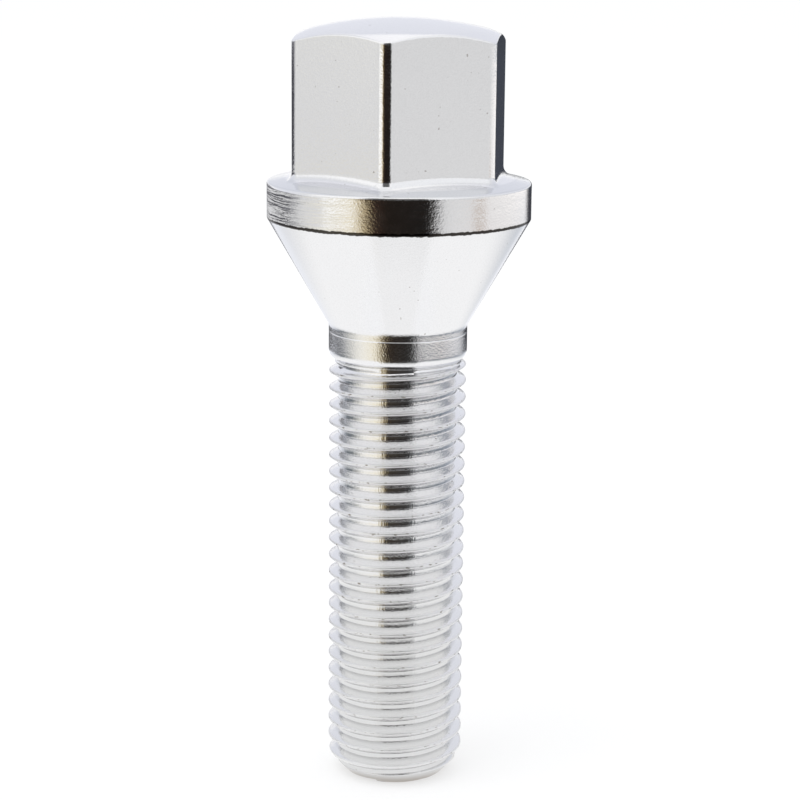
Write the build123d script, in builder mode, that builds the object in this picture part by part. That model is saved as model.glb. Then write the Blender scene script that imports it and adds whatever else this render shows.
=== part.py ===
from build123d import *
import os
from math import cos, floor, hypot, radians, sin, sqrt, tan

# Wheel bolt, forged in one piece with a rolled thread. Sizes in millimetres, angles in degrees.
# The axis is Z. The flat tip is at z = 0, the domed hexagon head is on top.

# Thread: M12 x 1.5, right-hand
thread_diameter = 11.82
thread_pitch = 1.5
thread_angle = 60.0
tip_diameter = 8.6
tip_angle = 45.0

# Plain neck between thread and seat
shank_length = 40.36
relief_diameter = 10.92
relief_length = 0.2
neck_diameter = 11.92
neck_land = 2.0
neck_round = 1.5

# Seat cone and collar
seat_angle = 60.0
collar_diameter = 22.5
collar_edge = 3.08
collar_slope = 12.5
collar_top_round = 0.22
collar_low_round = 0.2

# Hexagon head above the collar's edge, its dome and its chamfer cone
hex_across_flats = 17.0
hex_corner_round = 1.1
hex_foot_round = 0.8
head_height = 13.77
dome_radius = 35.0
crown_diameter = 15.6
crown_slope = 30.0
crown_blend = 3.0
crown_edge_round = 0.2

# Radii and heights that follow from the sizes above
thread_radius = thread_diameter / 2
flank_slope = tan(radians(thread_angle / 2))
thread_depth = 5 / 16 * thread_pitch / flank_slope
root_radius = thread_radius - thread_depth
tip_radius = tip_diameter / 2
neck_radius = neck_diameter / 2
relief_radius = relief_diameter / 2
collar_radius = collar_diameter / 2
collar_low = shank_length + (collar_radius - neck_radius) / tan(radians(seat_angle / 2))
collar_high = collar_low + collar_edge
neck_low = shank_length - neck_land
shoulder = abs(neck_radius - relief_radius)
relief_high = neck_low - sqrt(neck_round**2 - (neck_round - shoulder) ** 2)
relief_low = relief_high - relief_length
apex = collar_high + head_height
crown_radius = crown_diameter / 2
crown_low = apex - dome_radius + sqrt(dome_radius**2 - crown_radius**2)

# The thread's groove starts in a stub below the tip and ends under a narrow land, below the relief.
# It ends after a number of whole turns and the last part of one.
root_half = thread_pitch / 8
mouth_radius = thread_radius + thread_pitch / 15
mouth_half = root_half + (mouth_radius - root_radius) * flank_slope
last_flank = relief_low - abs(thread_radius - relief_radius) * flank_slope
last_land = thread_pitch / 10
groove_low = -1.87 * thread_pitch
stub = 2.5 * thread_pitch
last_turn = 0.8
groove_room = last_flank - last_land - mouth_half - groove_low
groove_turns = floor(groove_room / thread_pitch - last_turn) + last_turn

# Upright plane through the axis, away from both ends of the groove
seam = radians(150)
upright = Plane(origin=(0, 0, 0), x_dir=(cos(seam), sin(seam), 0), z_dir=(sin(seam), -cos(seam), 0))

# Shank with its stub, seat cone and collar as one turned outline
with BuildPart() as wheel_bolt:
    with BuildSketch(upright):
        inner = hex_across_flats / 3
        inner_high = collar_high + (collar_radius - inner) * tan(radians(collar_slope))
        with BuildLine():
            Polyline(
                (0, -stub),
                (thread_radius, -stub),
                (thread_radius, last_flank),
                (relief_radius, relief_low),
                (relief_radius, relief_high),
            )
            TangentArc((neck_radius, neck_low), (relief_radius, relief_high), tangent=(0, -1))
            FilletPolyline(
                (neck_radius, neck_low),
                (neck_radius, shank_length),
                (collar_radius, collar_low),
                (collar_radius, collar_high),
                (inner, inner_high),
                radius=(0, collar_low_round, collar_top_round),
            )
            Polyline((inner, inner_high), (0, inner_high), (0, -stub))
        make_face()
    revolve(axis=Axis.Z)

# Hexagon with rounded corners under a shallow dome and a chamfer cone
with BuildPart() as head:
    with BuildSketch(Plane.XY.offset(collar_low)) as hexagon:
        RegularPolygon(hex_across_flats / 2, 6, major_radius=False, rotation=30)
        fillet(hexagon.vertices(), hex_corner_round)
    extrude(amount=apex - collar_low)
    with BuildSketch(upright) as crown:
        outer = hex_across_flats
        outer_high = crown_low - (outer - crown_radius) * tan(radians(crown_slope))
        with BuildLine():
            RadiusArc((0, apex), (crown_radius, crown_low), dome_radius)
            Polyline((crown_radius, crown_low), (outer, outer_high), (outer, 0), (0, 0), (0, apex))
        make_face()
        fillet(crown.vertices().sort_by_distance((crown_radius, crown_low))[0], crown_blend)
    revolve(axis=Axis.Z, mode=Mode.INTERSECT)
    # The wavy edges where the chamfer cone leaves through the six flats and their corners
    nearly_flat = 0.99 * hex_across_flats / 2
    brow = head.edges().filter_by(lambda edge: edge.center().Z > collar_high + 0.7 * head_height)
    brow = brow.filter_by(lambda edge: hypot((edge @ 0).X, (edge @ 0).Y) > nearly_flat)
    brow = brow.filter_by(lambda edge: hypot((edge @ 1).X, (edge @ 1).Y) > nearly_flat)
    fillet(brow, crown_edge_round)

# Helical groove of the thread: straight flanks and a flat root
with BuildPart() as groove:
    with BuildLine(Plane.XY.offset(groove_low)) as groove_path:
        Helix(pitch=thread_pitch, height=groove_turns * thread_pitch, radius=root_radius)
    with BuildSketch(Plane.XZ):
        with BuildLine():
            Polyline(
                (root_radius, groove_low - root_half),
                (mouth_radius, groove_low - mouth_half),
                (mouth_radius, groove_low + mouth_half),
                (root_radius, groove_low + root_half),
                close=True,
            )
        make_face()
    sweep(path=groove_path.wires()[0], is_frenet=True)

# The head on its collar, then the thread, then the flat tip with its chamfer
with wheel_bolt:
    add(head.part)
    fillet(wheel_bolt.edges(Select.NEW), hex_foot_round)
    add(groove.part, mode=Mode.SUBTRACT)
    with BuildSketch(upright):
        wide = thread_diameter
        with BuildLine():
            Polyline(
                (0, 0),
                (tip_radius, 0),
                (wide, (wide - tip_radius) * tan(radians(tip_angle))),
                (wide, -2 * stub),
                (0, -2 * stub),
                close=True,
            )
        make_face()
    revolve(axis=Axis.Z, mode=Mode.SUBTRACT)

wheel_bolt.part.label = "wheel_bolt"
os.makedirs("parts", exist_ok=True)
export_step(wheel_bolt.part, "parts/wheel_bolt.step")
print("wheel_bolt", "valid", wheel_bolt.part.is_valid, "volume", round(wheel_bolt.part.volume, 1))
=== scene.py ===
import math
import bmesh
import bpy
from mathutils import Matrix, Vector


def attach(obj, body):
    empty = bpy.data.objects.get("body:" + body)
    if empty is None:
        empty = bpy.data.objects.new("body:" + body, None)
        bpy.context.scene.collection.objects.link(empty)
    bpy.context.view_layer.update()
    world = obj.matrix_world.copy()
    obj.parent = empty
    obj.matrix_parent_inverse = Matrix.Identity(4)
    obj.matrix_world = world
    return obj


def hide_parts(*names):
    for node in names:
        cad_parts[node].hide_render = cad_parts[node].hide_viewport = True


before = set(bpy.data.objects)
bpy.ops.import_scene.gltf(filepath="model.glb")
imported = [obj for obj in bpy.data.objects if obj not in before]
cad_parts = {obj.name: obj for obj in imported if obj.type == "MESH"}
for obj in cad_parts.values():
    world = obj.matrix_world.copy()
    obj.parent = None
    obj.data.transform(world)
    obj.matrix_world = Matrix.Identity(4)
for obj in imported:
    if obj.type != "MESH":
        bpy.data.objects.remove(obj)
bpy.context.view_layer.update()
mm = 0.001  # every size below is in millimetres


# Outlines: corners are (radius, height, round, segments), the first and last stay sharp
def roundedLine(corners, guard):
    points = []

    def straightTo(end):
        # a point close to each end keeps a flat stretch flat under smooth shading
        if points and (end - points[-1]).length > 3 * guard:
            step = (end - points[-1]).normalized() * guard
            points.append(points[-1] + step)
            points.append(end - step)
        points.append(end)

    for index, (radius, height, bend, segments) in enumerate(corners):
        corner = Vector((radius, height))
        if bend == 0:
            straightTo(corner)
            continue
        back = (Vector(corners[index - 1][:2]) - corner).normalized()
        ahead = (Vector(corners[index + 1][:2]) - corner).normalized()
        half = back.angle(ahead) / 2
        centre = corner + (back + ahead).normalized() * bend / math.sin(half)
        start = corner + back * bend / math.tan(half) - centre
        end = corner + ahead * bend / math.tan(half) - centre
        straightTo(centre + start)
        for step in range(1, segments + 1):
            points.append(centre + start.normalized().slerp(end.normalized(), step / segments) * bend)
    return points


def radiusAt(line, height):
    for low, high in zip(line, line[1:]):
        if low.y <= height <= high.y and high.y > low.y:
            return low.x + (high.x - low.x) * (height - low.y) / (high.y - low.y)
    return line[0].x if height < line[0].y else line[-1].x


def ease(value, start, end):
    share = min(max((value - start) / (end - start), 0), 1)
    return share * share * (3 - 2 * share)


# Head: domed hexagon, collar, seat cone and neck, turned as one outline
head = dict(
    acrossFlats=17.0, cornerRound=1.1, cornerColumns=12,
    apex=66.37, domeRadius=31.0, domeRows=24,
    crownRadius=7.7, crownSlope=26.0, crownBlend=0.135,
    crownShift=(0.085, -0.695),  # the crown was forged a little off the axis
    browWidth=0.35, browRound=0.2, browSteps=6,
    footRound=0.8, footSteps=8,
    collarRadius=11.24, collarHigh=52.60, collarLow=49.52, collarSlope=12.5,
    rimRound=0.22, rimSteps=8, lowRimRound=0.2, lowRimSteps=4,
    seatLow=40.36, seatRound=0.8, seatSteps=5,
    lineHeight=39.72, lineHalf=0.04, lineDepth=0.02,
    lineRounds=(0.02, 0.01, 0.03),  # above, in and below the turned line
    lineSteps=(2, 2, 3),
    neckRadius=5.96, neckCorner=37.64, neckRound=0.88, neckSteps=8,
    reliefRadius=5.42, reliefHigh=37.36, reliefRound=0.1, reliefSteps=3, reliefFoot=37.05,
    columns=360, guard=0.12, merge=1e-4,
)


def cornerSpan():
    # half the angle that a rounded corner takes up, seen from the axis
    flat = head["acrossFlats"] / 2
    return math.pi / 6 - math.atan((flat - head["cornerRound"]) * math.tan(math.pi / 6) / flat)


def hexWall(turn):
    # distance from the axis to the rounded hexagon, one corner faces -Y
    flat = head["acrossFlats"] / 2
    bend = head["cornerRound"]
    fromCorner = (turn + math.pi / 2 + math.pi / 6) % (math.pi / 3) - math.pi / 6
    if abs(fromCorner) >= cornerSpan():
        return flat / math.cos(math.pi / 6 - abs(fromCorner))
    centre = (flat - bend) / math.cos(math.pi / 6)
    return centre * math.cos(fromCorner) + math.sqrt(bend**2 - (centre * math.sin(fromCorner)) ** 2)


def gather(turn):
    # draws columns of the spin together at the six corners
    sector = math.pi / 3
    tangent = cornerSpan()
    shifted = turn + math.pi / 2 + sector / 2
    index = math.floor(shifted / sector)
    local = shifted / sector - index - 0.5
    share = head["cornerColumns"] / (head["columns"] / 6) / 2
    if abs(local) <= share:
        bent = local / share * tangent
    else:
        reach = (abs(local) - share) / (0.5 - share)
        bent = math.copysign(tangent + reach * (sector / 2 - tangent), local)
    return index * sector + bent - math.pi / 2


def crownHeight(reach, turn):
    # shallow dome and chamfer cone, blended where they meet
    across = reach * math.cos(turn) - head["crownShift"][0]
    along = reach * math.sin(turn) - head["crownShift"][1]
    radius = math.hypot(across, along)
    middle = head["apex"] - head["domeRadius"]
    dome = middle + math.sqrt(head["domeRadius"] ** 2 - radius**2)
    rim = middle + math.sqrt(head["domeRadius"] ** 2 - head["crownRadius"] ** 2)
    cone = rim - (radius - head["crownRadius"]) * math.tan(math.radians(head["crownSlope"]))
    share = min(max(0.5 + 0.5 * (cone - dome) / head["crownBlend"], 0), 1)
    return cone + (dome - cone) * share - head["crownBlend"] * share * (1 - share)


def headOutline(wall, turn):
    brow = wall - head["browWidth"]
    rows = head["domeRows"]
    dome = [Vector((brow * i / rows, crownHeight(brow * i / rows, turn))) for i in range(rows)]
    collar = head["collarRadius"]
    foot = head["collarHigh"] + (collar - wall) * math.tan(math.radians(head["collarSlope"]))
    neck = head["neckRadius"]
    line = head["lineHeight"]
    half = head["lineHalf"]
    rounds = head["lineRounds"]
    steps = head["lineSteps"]
    rest = roundedLine(
        [
            (brow, crownHeight(brow, turn), 0, 0),
            (wall, crownHeight(wall, turn), head["browRound"], head["browSteps"]),
            (wall, foot, head["footRound"], head["footSteps"]),
            (collar, head["collarHigh"], head["rimRound"], head["rimSteps"]),
            (collar, head["collarLow"], head["lowRimRound"], head["lowRimSteps"]),
            (neck, head["seatLow"], head["seatRound"], head["seatSteps"]),
            (neck, line + half, rounds[0], steps[0]),
            (neck - head["lineDepth"], line, rounds[1], steps[1]),
            (neck, line - half, rounds[2], steps[2]),
            (neck, head["neckCorner"], head["neckRound"], head["neckSteps"]),
            (head["reliefRadius"], head["reliefHigh"], head["reliefRound"], head["reliefSteps"]),
            (head["reliefRadius"], head["reliefFoot"], 0, 0),
        ],
        head["guard"],
    )
    return dome + rest


def buildHead(bm):
    row = bm.verts.layers.int.new("row")
    points = headOutline(head["acrossFlats"] / 2, 0)
    verts = [bm.verts.new((p.x * mm, 0, p.y * mm)) for p in points]
    for index, vert in enumerate(verts):
        vert[row] = index
    edges = [bm.edges.new(pair) for pair in zip(verts, verts[1:])]
    bmesh.ops.spin(
        bm, geom=verts + edges, cent=(0, 0, 0), axis=(0, 0, 1), dvec=(0, 0, 0),
        angle=2 * math.pi, steps=head["columns"], use_merge=True,
    )
    bmesh.ops.remove_doubles(bm, verts=bm.verts, dist=head["merge"] * mm)
    # push the round walls out to the hexagon, column by column
    outlines = {}
    for vert in bm.verts:
        turn = math.atan2(vert.co.y, vert.co.x)
        column = round(turn / (2 * math.pi) * head["columns"])
        if column not in outlines:
            bent = gather(column / head["columns"] * 2 * math.pi)
            outlines[column] = bent, headOutline(hexWall(bent), bent)
        bent, outline = outlines[column]
        point = outline[vert[row]]
        vert.co = (point.x * mm * math.cos(bent), point.x * mm * math.sin(bent), point.y * mm)


# Thread: one tooth outline, stacked and spun one turn up one pitch
thread = dict(
    pitch=1.5, flankAngle=30.0, firstCrest=0.943, lowestTooth=-2, teeth=27,
    crestRadius=5.91, crestHalf=0.094, crestRound=0.14, crestSteps=3,
    rootRadius=5.10, rootRound=0.05, rootSteps=5,
    tipRadius=4.25, tipRound=0.5, tipChamfer=1.75, chamferRound=1.6, tipSteps=5,
    tipFlat=1.0, tipWall=3.0,  # how much of the flat and of the wall the tip's outline takes in
    tipRows=(0.3, 0.6, 0.9, 1.2, 1.5, 1.8, 2.2),
    ridgeEnd=36.90, reliefLow=37.03, cut=37.03,
    fade=(23.50, 23.75),  # turns over which the groove runs out
    steps=90, guard=0.1, merge=1e-3, rowReach=1e-4, cutReach=1e-5,
)


def toothOutline():
    half = thread["pitch"] / 2
    crest = thread["crestRadius"]
    root = thread["rootRadius"]
    flat = thread["crestHalf"]
    flank = flat + (crest - root) * math.tan(math.radians(thread["flankAngle"]))
    return roundedLine(
        [
            (root, -half, 0, 0),
            (root, -flank, thread["rootRound"], thread["rootSteps"]),
            (crest, -flat, thread["crestRound"], thread["crestSteps"]),
            (crest, flat, thread["crestRound"], thread["crestSteps"]),
            (root, flank, thread["rootRound"], thread["rootSteps"]),
            (root, half, 0, 0),
        ],
        thread["guard"],
    )


def tipOutline():
    radius = thread["tipRadius"]
    crest = thread["crestRadius"]
    chamfer = thread["tipChamfer"]
    return roundedLine(
        [
            (radius - thread["tipFlat"], 0, 0, 0),
            (radius, 0, thread["tipRound"], thread["tipSteps"]),
            (crest, chamfer, thread["chamferRound"], thread["tipSteps"]),
            (crest, chamfer + thread["tipWall"], 0, 0),
        ],
        thread["guard"],
    )


def shapeShank(bm):
    # limits the teeth by the chamfered tip below and the relief above
    root = thread["rootRadius"]
    relief = head["reliefRadius"]
    lean = math.tan(math.radians(thread["flankAngle"]))
    tip = tipOutline()
    top = [Vector((thread["crestRadius"], thread["ridgeEnd"])), Vector((relief, thread["reliefLow"]))]
    for vert in bm.verts:
        radius = vert.co.xy.length / mm
        height = vert.co.z / mm
        turn = math.atan2(vert.co.y, vert.co.x) / (2 * math.pi)
        turns = (height - thread["firstCrest"]) / thread["pitch"] - turn
        groove = math.floor(turns)
        blank = root + (relief - root) * ease(groove + turn, *thread["fade"])
        if radius < blank:
            # a shallower groove has a wider floor between the same flanks
            side = -1 if turns - groove < 0.5 else 1
            height += side * (blank - radius) * lean
        shaped = min(max(radius, blank), radiusAt(tip, height), radiusAt(top, height))
        vert.co.xy *= shaped / radius
        vert.co.z = height * mm


def cutAcross(bm, height, direction, reach, clear):
    bmesh.ops.bisect_plane(
        bm, geom=bm.verts[:] + bm.edges[:] + bm.faces[:], dist=reach * mm,
        plane_co=(0, 0, height * mm), plane_no=(0, 0, direction), clear_outer=clear,
    )


def buildThread(bm):
    tooth = toothOutline()
    verts = []
    for index in range(thread["lowestTooth"], thread["teeth"]):
        lift = thread["firstCrest"] + index * thread["pitch"]
        for point in tooth[1 if verts else 0:]:
            verts.append(bm.verts.new((point.x * mm, 0, (point.y + lift) * mm)))
    edges = [bm.edges.new(pair) for pair in zip(verts, verts[1:])]
    bmesh.ops.spin(
        bm, geom=verts + edges, cent=(0, 0, 0), axis=(0, 0, 1), angle=2 * math.pi,
        dvec=(0, 0, thread["pitch"] / thread["steps"] * mm), steps=thread["steps"],
    )
    bmesh.ops.remove_doubles(bm, verts=bm.verts, dist=thread["merge"] * mm)
    # more rows to shape the chamfer by
    for height in thread["tipRows"]:
        cutAcross(bm, height, 1, thread["rowReach"], False)
    shapeShank(bm)
    cutAcross(bm, 0, -1, thread["cutReach"], True)
    cutAcross(bm, thread["cut"], 1, thread["cutReach"], True)
    # points that slid together where the groove ends
    bmesh.ops.remove_doubles(bm, verts=bm.verts, dist=thread["merge"] * mm)


def buildBolt():
    bm = bmesh.new()
    buildThread(bm)
    shank = bpy.data.meshes.new("shank")
    bm.to_mesh(shank)
    bm.clear()
    buildHead(bm)
    bm.from_mesh(shank)
    bpy.data.meshes.remove(shank)
    # the neck meets the shank, and a disc closes the tip
    openEdges = [edge for edge in bm.edges if edge.is_boundary]
    seam = [edge for edge in openEdges if edge.verts[0].co.z > mm]
    tipEdge = [edge for edge in openEdges if edge.verts[0].co.z < mm]
    bmesh.ops.bridge_loops(bm, edges=seam)
    disc = bmesh.ops.contextual_create(bm, geom=tipEdge)
    bmesh.ops.poke(bm, faces=disc["faces"])
    bmesh.ops.recalc_face_normals(bm, faces=bm.faces)
    leaks = sum(not edge.is_manifold for edge in bm.edges)
    mesh = bpy.data.meshes.new("wheel_bolt_body")
    bm.to_mesh(mesh)
    bm.free()
    mesh.shade_smooth()
    bolt = bpy.data.objects.new("wheel_bolt_body", mesh)
    bpy.context.scene.collection.objects.link(bolt)
    mesh.calc_loop_triangles()
    print("bolt:", len(mesh.loop_triangles), "triangles,", leaks, "open edges")
    return bolt


# Materials
def addNode(tree, kind, values=None, **settings):
    node = tree.nodes.new(kind)
    for name, value in settings.items():
        setattr(node, name, value)
    for name, value in (values or {}).items():
        node.inputs[name].default_value = value
    return node


def emptyTree(owner):
    owner.use_nodes = True
    owner.node_tree.nodes.clear()
    return owner.node_tree


def addMath(tree, operation, *terms):
    # terms are sockets or plain numbers
    node = tree.nodes.new("ShaderNodeMath")
    node.operation = operation
    for socket, term in zip(node.inputs, terms):
        if isinstance(term, (int, float)):
            socket.default_value = term
        else:
            tree.links.new(term, socket)
    return node.outputs[0]


def addFade(tree, value, start, end):
    # 0 before start and 1 after end, or the other way round
    node = addNode(
        tree, "ShaderNodeMapRange", {"From Min": start, "From Max": end}, interpolation_type="SMOOTHSTEP"
    )
    tree.links.new(value, node.inputs["Value"])
    return node.outputs["Result"]


def addBand(tree, value, low, high, soft):
    # 1 between low and high
    rise = addFade(tree, value, low - soft, low)
    fall = addFade(tree, value, high + soft, high)
    return addMath(tree, "MULTIPLY", rise, fall)


def roundTheAxis():
    # group for plating and cards: reach from the axis, its fade from near to far, turn from the camera
    group = bpy.data.node_groups.new("roundTheAxis", "ShaderNodeTree")
    group.interface.new_socket("Place", in_out="INPUT", socket_type="NodeSocketVector")
    for name in ("Near", "Far"):
        group.interface.new_socket(name, in_out="INPUT", socket_type="NodeSocketFloat")
    for name in ("Reach", "Fade", "Turn"):
        group.interface.new_socket(name, in_out="OUTPUT", socket_type="NodeSocketFloat")
    link = group.links.new
    given = addNode(group, "NodeGroupInput")
    result = addNode(group, "NodeGroupOutput")
    level = addNode(group, "ShaderNodeVectorMath", {1: (1, 1, 0)}, operation="MULTIPLY")
    link(given.outputs["Place"], level.inputs[0])
    reach = addNode(group, "ShaderNodeVectorMath", operation="LENGTH")
    link(level.outputs["Vector"], reach.inputs[0])
    link(reach.outputs["Value"], result.inputs["Reach"])
    fade = addNode(group, "ShaderNodeMapRange", interpolation_type="SMOOTHSTEP")
    link(reach.outputs["Value"], fade.inputs["Value"])
    link(given.outputs["Near"], fade.inputs["From Min"])
    link(given.outputs["Far"], fade.inputs["From Max"])
    link(fade.outputs["Result"], result.inputs["Fade"])
    facing = addNode(group, "ShaderNodeMapping", {"Rotation": (0, 0, math.radians(90 - shot["azimuth"]))})
    link(given.outputs["Place"], facing.inputs["Vector"])
    turn = addNode(group, "ShaderNodeTexGradient", gradient_type="RADIAL")
    link(facing.outputs["Vector"], turn.inputs["Vector"])
    link(turn.outputs["Fac"], result.inputs["Turn"])
    return group


def addAxis(tree, axisGroup, place, near, far):
    node = addNode(tree, "ShaderNodeGroup", {"Near": near, "Far": far}, node_tree=axisGroup)
    tree.links.new(place, node.inputs["Place"])
    return node


# Bright plating over forged, turned and rolled steel.
# A noise is (scale, detail), a share is where it starts to show and where it shows in full.
plating = dict(
    colour=(0.86, 0.86, 0.87, 1),
    mottle=(0.83, 0.83, 0.84, 1), mottleNoise=(8.0, 2.0), mottleShare=(0.35, 0.7),
    ledge=(0.73, 0.74, 0.76, 1), ledgeReach=(9.6, 9.9), ledgeSoft=0.1,
    # painted shade: the thread darkens towards the bottom, more in its roots
    threadPaintedShade=(0.82, 0.82, 0.82, 1), paintedShadeHeight=(26.0, 10.0),
    rootPaintedShade=(0.72, 0.72, 0.72, 1), rootReach=(5.45, 5.15),
    stain=(0.30, 0.27, 0.24, 1), crestEnd=37.0, pitReach=(5.86, 5.90),
    pitNoise=(2.2, 2.0), pitStretch=(1, 1, 3), pitShare=(0.60, 0.70),
    loosePitNoise=(3.3, 0.0), loosePitShare=(0.84, 0.90), loosePitDepth=0.6,
    # painted dark reflection along the collar's low rim
    rimPaintedShade=(0.06, 0.055, 0.05, 1), rim=(49.44, 49.66), rimSoft=0.05, rimDepth=0.3,
    rimNoise=(2.4, 2.0), rimWander=0.22,
    # painted shade on the tip, where it mirrors the floor's contact shadow
    tipPaintedShade=(0.48, 0.44, 0.40, 1), tipShadeHeight=1.1,
    roughness=(0.08, 0.13), roughNoise=(1.3, 3.0), roughShare=(0.3, 0.7),
    crestRoughness=0.38, crestReach=(5.74, 5.84),
    grainNoise=(5.5, 2.0), grainHeight=0.009,
    turnedNoise=(7.15, 3.0), turnedHeight=0.018, collarGrain=0.25,
    waveNoise=(0.8, 1.0), waveHeight=0.005,
    edgeNoise=(0.9, 0.0), edgeHeight=0.012, edgeReach=(9.44, 9.54), edgeRise=0.6,
    lineNoise=(2.6, 2.0), lineStretch=(0.06, 0.06, 1), lineHeight=0.05,
    lineWear=(-2.0, -7.5), lineLeast=0.1,  # lines are deepest on one side of the collar
    streakNoise=(7.0, 1.0), streakStretch=(1, 1, 0.12), streakHeight=0.013, threadTop=(37.6, 37.4),
    collarMargin=0.3, collarSoft=0.2, neckMargin=0.5, neckSoft=0.3,
)


def platedSteel(axisGroup):
    material = bpy.data.materials.new("platedSteel")
    tree = emptyTree(material)
    link = tree.links.new
    place = addNode(tree, "ShaderNodeTexCoord")
    inMm = addNode(tree, "ShaderNodeVectorMath", {"Scale": 1 / mm}, operation="SCALE")
    link(place.outputs["Object"], inMm.inputs[0])
    spot = inMm.outputs["Vector"]

    def noise(name, stretch=None):
        scale, detail = plating[name]
        node = addNode(tree, "ShaderNodeTexNoise", {"Scale": scale, "Detail": detail})
        source = spot
        if stretch:
            mapping = addNode(tree, "ShaderNodeMapping", {"Scale": plating[stretch]})
            link(spot, mapping.inputs["Vector"])
            source = mapping.outputs["Vector"]
        link(source, node.inputs["Vector"])
        return node.outputs["Fac"]

    def product(first, second):
        return addMath(tree, "MULTIPLY", first, second)

    def fade(value, name):
        return addFade(tree, value, *plating[name])

    def raised(relief, pattern, name):
        return addMath(tree, "MULTIPLY_ADD", pattern, plating[name], relief)

    def blend(share, colour, name):
        # a mix holds its share in socket 0 and its two colours in 6 and 7
        node = addNode(tree, "ShaderNodeMix", {7: plating[name]}, data_type="RGBA")
        link(share, node.inputs[0])
        if isinstance(colour, tuple):
            node.inputs[6].default_value = colour
        else:
            link(colour, node.inputs[6])
        return node.outputs[2]

    split = addNode(tree, "ShaderNodeSeparateXYZ")
    link(spot, split.inputs["Vector"])
    height = split.outputs["Z"]
    axis = addAxis(tree, axisGroup, spot, *plating["edgeReach"])
    radius = axis.outputs["Reach"]

    # where the steel was turned, rolled or forged
    collarHigh = head["collarHigh"]
    collarTop = collarHigh - plating["collarMargin"]
    collarZone = addBand(tree, height, head["collarLow"], collarTop, plating["collarSoft"])
    neckFoot = head["neckCorner"] + plating["neckMargin"]
    neckZone = addBand(tree, height, neckFoot, head["seatLow"], plating["neckSoft"])
    threadZone = fade(height, "threadTop")
    headZone = addFade(tree, height, collarHigh, collarHigh + plating["edgeRise"])
    least = plating["lineLeast"]
    worn = addMath(tree, "MULTIPLY_ADD", fade(split.outputs["X"], "lineWear"), 1 - least, least)

    # grain and waviness everywhere, turning lines, rolling streaks and uneven forged edges
    lines = product(noise("lineNoise", "lineStretch"), product(collarZone, worn))
    relief = product(lines, plating["lineHeight"])
    relief = raised(relief, noise("grainNoise"), "grainHeight")
    relief = raised(relief, noise("waveNoise"), "waveHeight")
    turnedZone = addMath(tree, "MAXIMUM", neckZone, product(collarZone, plating["collarGrain"]))
    relief = raised(relief, product(noise("turnedNoise"), turnedZone), "turnedHeight")
    edgeZone = product(axis.outputs["Fade"], headZone)
    relief = raised(relief, product(noise("edgeNoise"), edgeZone), "edgeHeight")
    streaks = product(noise("streakNoise", "streakStretch"), threadZone)
    relief = raised(relief, streaks, "streakHeight")
    bump = addNode(tree, "ShaderNodeBump", {"Strength": 1.0, "Distance": mm})
    link(relief, bump.inputs["Height"])

    # mottled plating, greyer on the collar's ledge; painted shade darkens the thread towards the bottom and
    # in its roots
    colour = blend(fade(noise("mottleNoise"), "mottleShare"), plating["colour"], "mottle")
    onLedge = addFade(tree, height, collarHigh - plating["ledgeSoft"], collarHigh)
    colour = blend(product(onLedge, fade(radius, "ledgeReach")), colour, "ledge")
    # painted shade: the thread's colour darkens towards the bottom
    threadShade = fade(height, "paintedShadeHeight")
    colour = blend(threadShade, colour, "threadPaintedShade")
    # painted shade, deeper in the thread's roots towards the bottom
    colour = blend(product(fade(radius, "rootReach"), threadShade), colour, "rootPaintedShade")

    # dark pits on the crests of the thread and a few anywhere
    onThread = addMath(tree, "LESS_THAN", height, plating["crestEnd"])
    onCrest = product(fade(radius, "pitReach"), onThread)
    crestPits = product(fade(noise("pitNoise", "pitStretch"), "pitShare"), onCrest)
    loosePits = product(fade(noise("loosePitNoise"), "loosePitShare"), plating["loosePitDepth"])
    colour = blend(addMath(tree, "MAXIMUM", crestPits, loosePits), colour, "stain")

    # a painted dark reflection that wanders along the collar's low rim, and painted shade on the tip
    wander = plating["rimWander"]
    rimHeight = addMath(tree, "MULTIPLY_ADD", noise("rimNoise"), wander, -0.5 * wander)
    rimShadeLine = addBand(tree, addMath(tree, "ADD", height, rimHeight), *plating["rim"], plating["rimSoft"])
    onCollar = addMath(tree, "GREATER_THAN", radius, head["collarRadius"] - plating["rimDepth"])
    # painted reflection: the dark line along the low rim
    colour = blend(product(rimShadeLine, onCollar), colour, "rimPaintedShade")
    # painted shade: the tip darkens towards its end
    colour = blend(addFade(tree, height, plating["tipShadeHeight"], 0.0), colour, "tipPaintedShade")

    # smooth with duller patches, rough along the crests
    rough = addNode(tree, "ShaderNodeMapRange")
    sockets = ("From Min", "From Max", "To Min", "To Max")
    for name, value in zip(sockets, plating["roughShare"] + plating["roughness"]):
        rough.inputs[name].default_value = value
    link(noise("roughNoise"), rough.inputs["Value"])
    crestWear = product(fade(radius, "crestReach"), onThread)
    gloss = raised(rough.outputs["Result"], crestWear, "crestRoughness")
    metal = addNode(tree, "ShaderNodeBsdfPrincipled", {"Metallic": 1.0})
    link(colour, metal.inputs["Base Color"])
    link(gloss, metal.inputs["Roughness"])
    link(bump.outputs["Normal"], metal.inputs["Normal"])
    output = addNode(tree, "ShaderNodeOutputMaterial")
    link(metal.outputs["BSDF"], output.inputs["Surface"])
    return material


# Camera at the photograph's angle
shot = dict(
    azimuth=7.0, lookDown=12.5, roll=0.51, distance=198.5, aim=(0.225, 0.028, 33.55),
    lens=103.12, sensor=36,
)


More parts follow.
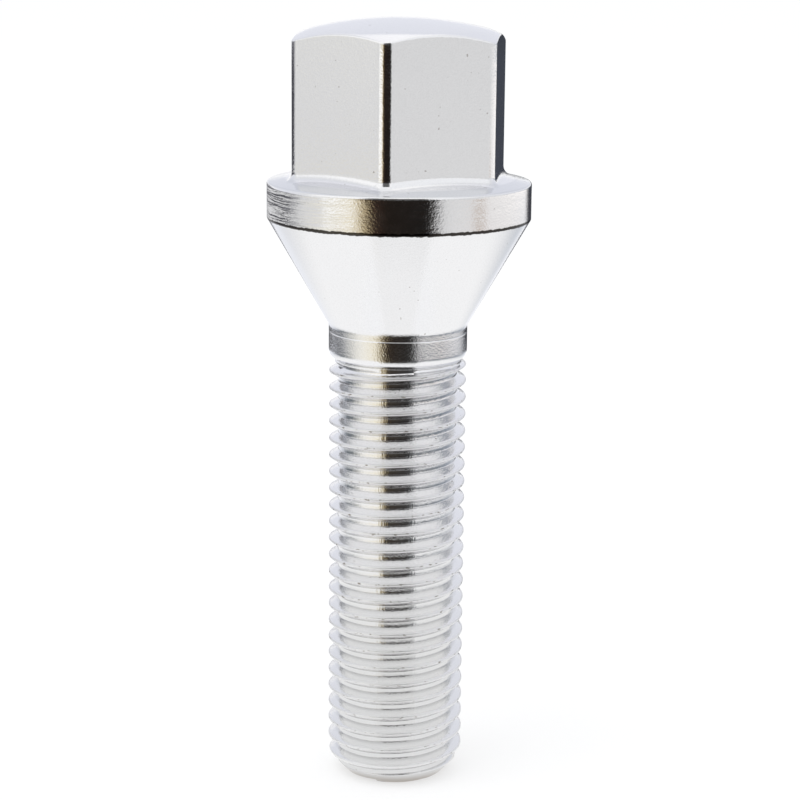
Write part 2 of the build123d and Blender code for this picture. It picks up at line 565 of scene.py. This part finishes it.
def buildCamera():
    data = bpy.data.cameras.new("shot")
    data.lens = shot["lens"]
    data.sensor_width = shot["sensor"]
    camera = bpy.data.objects.new("shot", data)
    turn = Matrix.Rotation(math.radians(shot["azimuth"]), 4, "Z")
    tilt = Matrix.Rotation(math.radians(90 - shot["lookDown"]), 4, "X")
    roll = Matrix.Rotation(math.radians(shot["roll"]), 4, "Z")
    aim = Matrix.Translation(Vector(shot["aim"]) * mm)
    camera.matrix_world = aim @ turn @ tilt @ roll @ Matrix.Translation((0, 0, shot["distance"] * mm))
    bpy.context.scene.collection.objects.link(camera)
    bpy.context.scene.camera = camera


# Studio: white surroundings, a pale floor and a soft lamp
studio = dict(
    sky=(1.04, 1.05, 1.07, 1), white=(1, 1, 1, 1),
    floorSize=6000, floorColour=(0.95, 0.95, 0.95, 1), floorGlow=0.6,
    lampPower=1.3, lampSize=500, lampPlace=(-300, -250, 700), lampAim=(0, 0, 30),
)


def seenAsBackground(tree):
    # 1 for rays from the camera and for rays that metal sends out
    path = addNode(tree, "ShaderNodeLightPath")
    mirrored = addMath(tree, "MAXIMUM", path.outputs["Is Glossy Ray"], path.outputs["Is Transmission Ray"])
    return addMath(tree, "MAXIMUM", path.outputs["Is Camera Ray"], mirrored)


def buildWorld():
    world = bpy.data.worlds.new("studio")
    bpy.context.scene.world = world
    tree = emptyTree(world)
    link = tree.links.new
    colour = addNode(tree, "ShaderNodeMix", {6: studio["sky"], 7: studio["white"]}, data_type="RGBA")
    link(seenAsBackground(tree), colour.inputs[0])
    shine = addNode(tree, "ShaderNodeBackground", {"Strength": 1.0})
    link(colour.outputs[2], shine.inputs["Color"])
    output = addNode(tree, "ShaderNodeOutputWorld")
    link(shine.outputs["Background"], output.inputs["Surface"])


def paleFloor():
    material = bpy.data.materials.new("paleFloor")
    tree = emptyTree(material)
    link = tree.links.new
    matt = addNode(tree, "ShaderNodeBsdfDiffuse", {"Color": studio["floorColour"]})
    white = addNode(tree, "ShaderNodeEmission", {"Color": studio["white"], "Strength": 1.0})
    both = addNode(tree, "ShaderNodeMixShader")
    link(addMath(tree, "MULTIPLY", seenAsBackground(tree), studio["floorGlow"]), both.inputs["Fac"])
    link(matt.outputs["BSDF"], both.inputs[1])
    link(white.outputs["Emission"], both.inputs[2])
    output = addNode(tree, "ShaderNodeOutputMaterial")
    link(both.outputs["Shader"], output.inputs["Surface"])
    return material


def buildFloor():
    bm = bmesh.new()
    bmesh.ops.create_grid(bm, x_segments=1, y_segments=1, size=studio["floorSize"] / 2 * mm)
    mesh = bpy.data.meshes.new("floor")
    bm.to_mesh(mesh)
    bm.free()
    mesh.materials.append(paleFloor())
    floor = bpy.data.objects.new("floor", mesh)
    bpy.context.scene.collection.objects.link(floor)


def buildLamp():
    data = bpy.data.lights.new("softLamp", "AREA")
    data.energy = studio["lampPower"]
    data.size = studio["lampSize"] * mm
    lamp = bpy.data.objects.new("softLamp", data)
    place = Vector(studio["lampPlace"]) * mm
    aim = Vector(studio["lampAim"]) * mm
    lamp.location = place
    lamp.rotation_euler = (aim - place).to_track_quat("-Z", "Y").to_euler()
    lamp.visible_glossy = False
    bpy.context.scene.collection.objects.link(lamp)


# Cards round the bolt that only the plating shows. The outline is (distance, height).
# Shades go round by the angle from the camera, to the right, and fade in from white between two distances.
tent = dict(reach=1500, ringSteps=72)


def tentArc(low, high, steps):
    rises = [math.radians(low + (high - low) * step / steps) for step in range(steps + 1)]
    return [(tent["reach"] * math.cos(rise), tent["reach"] * math.sin(rise)) for rise in rises]


cards = (
    dict(
        name="frontCard", outline=((14, 1), (175, 1)), sector=(-32, 36), fade=(25, 72), strength=1.0,
        shades=(
            (-32, 0.95, 0.90, 0.76), (-26, 0.45, 0.36, 0.20), (-20, 0.05, 0.04, 0.03),
            (23, 0.045, 0.045, 0.045), (36, 0.22, 0.23, 0.24),
        ),
    ),
    dict(
        name="threadCard", outline=((30, 0.5), (175, 0.5)), fade=(52, 125), strength=1.04,
        shades=(
            (-180, 0.95, 0.96, 1.0), (-145, 0.85, 0.87, 0.92), (-126, 0.55, 0.57, 0.62),
            (-114, 0.16, 0.18, 0.20), (-97, 0.16, 0.18, 0.19), (-84, 0.45, 0.45, 0.43),
            (-66, 0.95, 0.93, 0.88), (-38, 0.95, 0.90, 0.78), (34, 0.15, 0.16, 0.17),
            (60, 0.18, 0.20, 0.22), (95, 0.20, 0.23, 0.27), (112, 0.28, 0.31, 0.36),
            (128, 0.42, 0.45, 0.50), (145, 0.62, 0.65, 0.70), (160, 0.95, 0.96, 1.0),
            (180, 0.95, 0.96, 1.0),
        ),
    ),
    dict(
        name="neckCard", outline=((175, 0.5), (280, 0.5)), fade=(0, 1), strength=1.0,
        shades=(
            (-180, 0.95, 0.96, 1.0), (-174, 0.80, 0.81, 0.85), (-163, 0.14, 0.14, 0.15),
            (-115, 0.14, 0.14, 0.15), (-100, 0.45, 0.45, 0.46), (-85, 0.80, 0.79, 0.75),
            (-60, 1.0, 0.97, 0.86), (-36, 1.0, 0.92, 0.70), (-28, 0.45, 0.36, 0.20),
            (-22, 0.03, 0.02, 0.015), (25, 0.01, 0.01, 0.01), (33, 0.80, 0.78, 0.77),
            (60, 0.86, 0.82, 0.80), (110, 0.90, 0.88, 0.88), (130, 0.50, 0.50, 0.52),
            (140, 0.05, 0.05, 0.06), (168, 0.05, 0.05, 0.06), (174, 0.95, 0.96, 1.0),
            (180, 0.95, 0.96, 1.0),
        ),
    ),
    dict(
        name="collarCard", outline=((280, 0.5), (410, 0.5)), fade=(0, 1), strength=1.0,
        shades=(
            (-180, 0.95, 0.96, 1.0), (-176, 0.95, 0.96, 1.0), (-171, 0.45, 0.45, 0.47),
            (-150, 0.78, 0.78, 0.79), (-120, 0.78, 0.78, 0.78), (-95, 0.82, 0.82, 0.81),
            (-60, 0.80, 0.76, 0.66), (-36, 0.78, 0.69, 0.51), (-28, 0.60, 0.48, 0.28),
            (-22, 0.06, 0.03, 0.02), (-10, 0.01, 0.008, 0.006), (28, 0.01, 0.01, 0.01),
            (33, 0.68, 0.68, 0.68), (50, 0.82, 0.82, 0.82), (63, 0.82, 0.80, 0.79),
            (69, 0.58, 0.50, 0.44), (76, 0.58, 0.50, 0.44), (82, 0.85, 0.83, 0.82),
            (110, 0.88, 0.87, 0.86), (140, 0.90, 0.90, 0.92), (149, 0.05, 0.05, 0.06),
            (168, 0.05, 0.05, 0.06), (174, 0.95, 0.96, 1.0), (180, 0.95, 0.96, 1.0),
        ),
    ),
    dict(
        name="hexCard", outline=((410, 0.5), (950, 0.5)), fade=(0, 1), strength=1.2,
        shades=(
            (-180, 0.80, 0.80, 0.82), (-172, 0.80, 0.80, 0.82), (-167, 0.05, 0.05, 0.06),
            (-110, 0.05, 0.05, 0.06), (-92, 0.62, 0.62, 0.625), (-70, 0.67, 0.67, 0.672),
            (-64, 1.0, 1.0, 0.99), (-39, 1.0, 0.99, 0.95), (-34, 0.5, 0.40, 0.26),
            (-29, 0.014, 0.010, 0.008), (32, 0.014, 0.010, 0.008), (39, 0.65, 0.65, 0.65),
            (60, 0.66, 0.66, 0.66), (75, 0.78, 0.77, 0.76), (118, 0.95, 0.92, 0.90),
            (140, 0.95, 0.92, 0.90), (149, 0.045, 0.05, 0.065), (173, 0.045, 0.05, 0.065),
            (178, 0.80, 0.80, 0.82), (180, 0.80, 0.80, 0.82),
        ),
    ),
    dict(
        name="edgeCard", outline=((950, 0.5), (1500, 0.5), (1500, 105)), fade=(0, 1), strength=1.0,
        shades=(
            (-180, 1.0, 1.0, 1.0), (-165, 0.90, 0.90, 0.95), (-150, 0.25, 0.25, 0.27),
            (-105, 0.25, 0.25, 0.27), (-85, 0.72, 0.72, 0.70), (-66, 0.95, 0.94, 0.90),
            (-56, 0.85, 0.82, 0.72), (-38, 0.70, 0.62, 0.42), (-32, 0.25, 0.17, 0.06),
            (-22, 0.03, 0.02, 0.015), (30, 0.02, 0.02, 0.02), (40, 0.75, 0.75, 0.75),
            (100, 0.75, 0.76, 0.78), (120, 0.60, 0.63, 0.68), (148, 0.40, 0.43, 0.48),
            (152, 0.05, 0.055, 0.07), (174, 0.05, 0.055, 0.07), (178, 1.0, 1.0, 1.0),
            (180, 1.0, 1.0, 1.0),
        ),
    ),
    dict(
        name="tentLow", outline=tentArc(4, 8, 3), fade=(0, 1), strength=1.1,
        shades=(
            (-180, 1.0, 1.0, 1.0), (-110, 0.85, 0.86, 0.90), (-90, 0.78, 0.79, 0.82),
            (-80, 0.86, 0.86, 0.86), (-36, 0.86, 0.86, 0.86), (-24, 0.12, 0.12, 0.12),
            (24, 0.12, 0.12, 0.12), (34, 0.86, 0.86, 0.86), (50, 0.86, 0.86, 0.86),
            (58, 0.78, 0.79, 0.82), (110, 0.85, 0.86, 0.90), (180, 1.0, 1.0, 1.0),
        ),
    ),
    dict(
        name="tentMid", outline=tentArc(8, 45, 8), fade=(0, 1), strength=1.1,
        shades=(
            (-180, 0.76, 0.775, 0.84), (-110, 0.76, 0.775, 0.83), (-86, 0.77, 0.78, 0.80),
            (-76, 1.0, 1.0, 1.0), (-36, 1.0, 1.0, 1.0), (-24, 0.12, 0.12, 0.12),
            (22, 0.12, 0.12, 0.12), (32, 1.0, 1.0, 1.0), (40, 0.90, 0.91, 0.93),
            (62, 0.88, 0.89, 0.91), (75, 0.77, 0.78, 0.80), (110, 0.76, 0.775, 0.83),
            (180, 0.76, 0.775, 0.84),
        ),
    ),
    dict(
        name="tentTop", outline=tentArc(45, 90, 10), fade=(450, 850), strength=1.10,
        shades=(
            (-180, 1.0, 1.0, 1.02), (-150, 0.90, 0.90, 0.94), (-110, 0.76, 0.77, 0.82),
            (-86, 0.77, 0.78, 0.80), (-76, 1.0, 1.0, 1.0), (32, 1.0, 1.0, 1.0),
            (40, 0.90, 0.91, 0.93), (62, 0.88, 0.89, 0.91), (75, 0.77, 0.78, 0.80),
            (110, 0.76, 0.77, 0.82), (150, 0.90, 0.90, 0.94), (180, 1.0, 1.0, 1.02),
        ),
    ),
)


def cardCloth(card, axisGroup):
    material = bpy.data.materials.new(card["name"])
    tree = emptyTree(material)
    link = tree.links.new
    place = addNode(tree, "ShaderNodeTexCoord")
    near, far = card["fade"]
    axis = addAxis(tree, axisGroup, place.outputs["Object"], near * mm, far * mm)
    shades = addNode(tree, "ShaderNodeValToRGB")
    link(axis.outputs["Turn"], shades.inputs["Fac"])
    ramp = shades.color_ramp
    ramp.elements.remove(ramp.elements[1])
    for index, (turn, *shade) in enumerate(card["shades"]):
        position = 0.5 + turn / 360
        stop = ramp.elements.new(position) if index else ramp.elements[0]
        stop.position = position
        stop.color = (*shade, 1)
    colour = addNode(tree, "ShaderNodeMix", {6: studio["white"]}, data_type="RGBA")
    link(axis.outputs["Fade"], colour.inputs[0])
    link(shades.outputs["Color"], colour.inputs[7])
    glow = addNode(tree, "ShaderNodeEmission", {"Strength": card["strength"]})
    link(colour.outputs[2], glow.inputs["Color"])
    output = addNode(tree, "ShaderNodeOutputMaterial")
    link(glow.outputs["Emission"], output.inputs["Surface"])
    return material


def buildCard(card, axisGroup):
    bm = bmesh.new()
    start, end = card.get("sector", (-180, 180))
    turn = Matrix.Rotation(math.radians(shot["azimuth"] - 90 + start), 4, "Z")
    verts = [bm.verts.new(turn @ Vector((reach * mm, 0, height * mm))) for reach, height in card["outline"]]
    edges = [bm.edges.new(pair) for pair in zip(verts, verts[1:])]
    bmesh.ops.spin(
        bm, geom=verts + edges, cent=(0, 0, 0), axis=(0, 0, 1), dvec=(0, 0, 0),
        angle=math.radians(end - start), steps=tent["ringSteps"], use_merge="sector" not in card,
    )
    mesh = bpy.data.meshes.new(card["name"])
    bm.to_mesh(mesh)
    bm.free()
    mesh.materials.append(cardCloth(card, axisGroup))
    ring = bpy.data.objects.new(card["name"], mesh)
    ring.visible_camera = False
    ring.visible_diffuse = False
    ring.visible_shadow = False
    bpy.context.scene.collection.objects.link(ring)


axisGroup = roundTheAxis()
bolt = buildBolt()
bolt.data.materials.append(platedSteel(axisGroup))
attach(bolt, "root")
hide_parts("wheel_bolt")
print("bolt is plated and stands for the solid")
buildCamera()
buildWorld()
buildFloor()
buildLamp()
print("camera, floor and lamp are set")
for card in cards:
    buildCard(card, axisGroup)
print(len(cards), "cards stand round the bolt")
bpy.context.scene.view_settings.view_transform = "Standard"
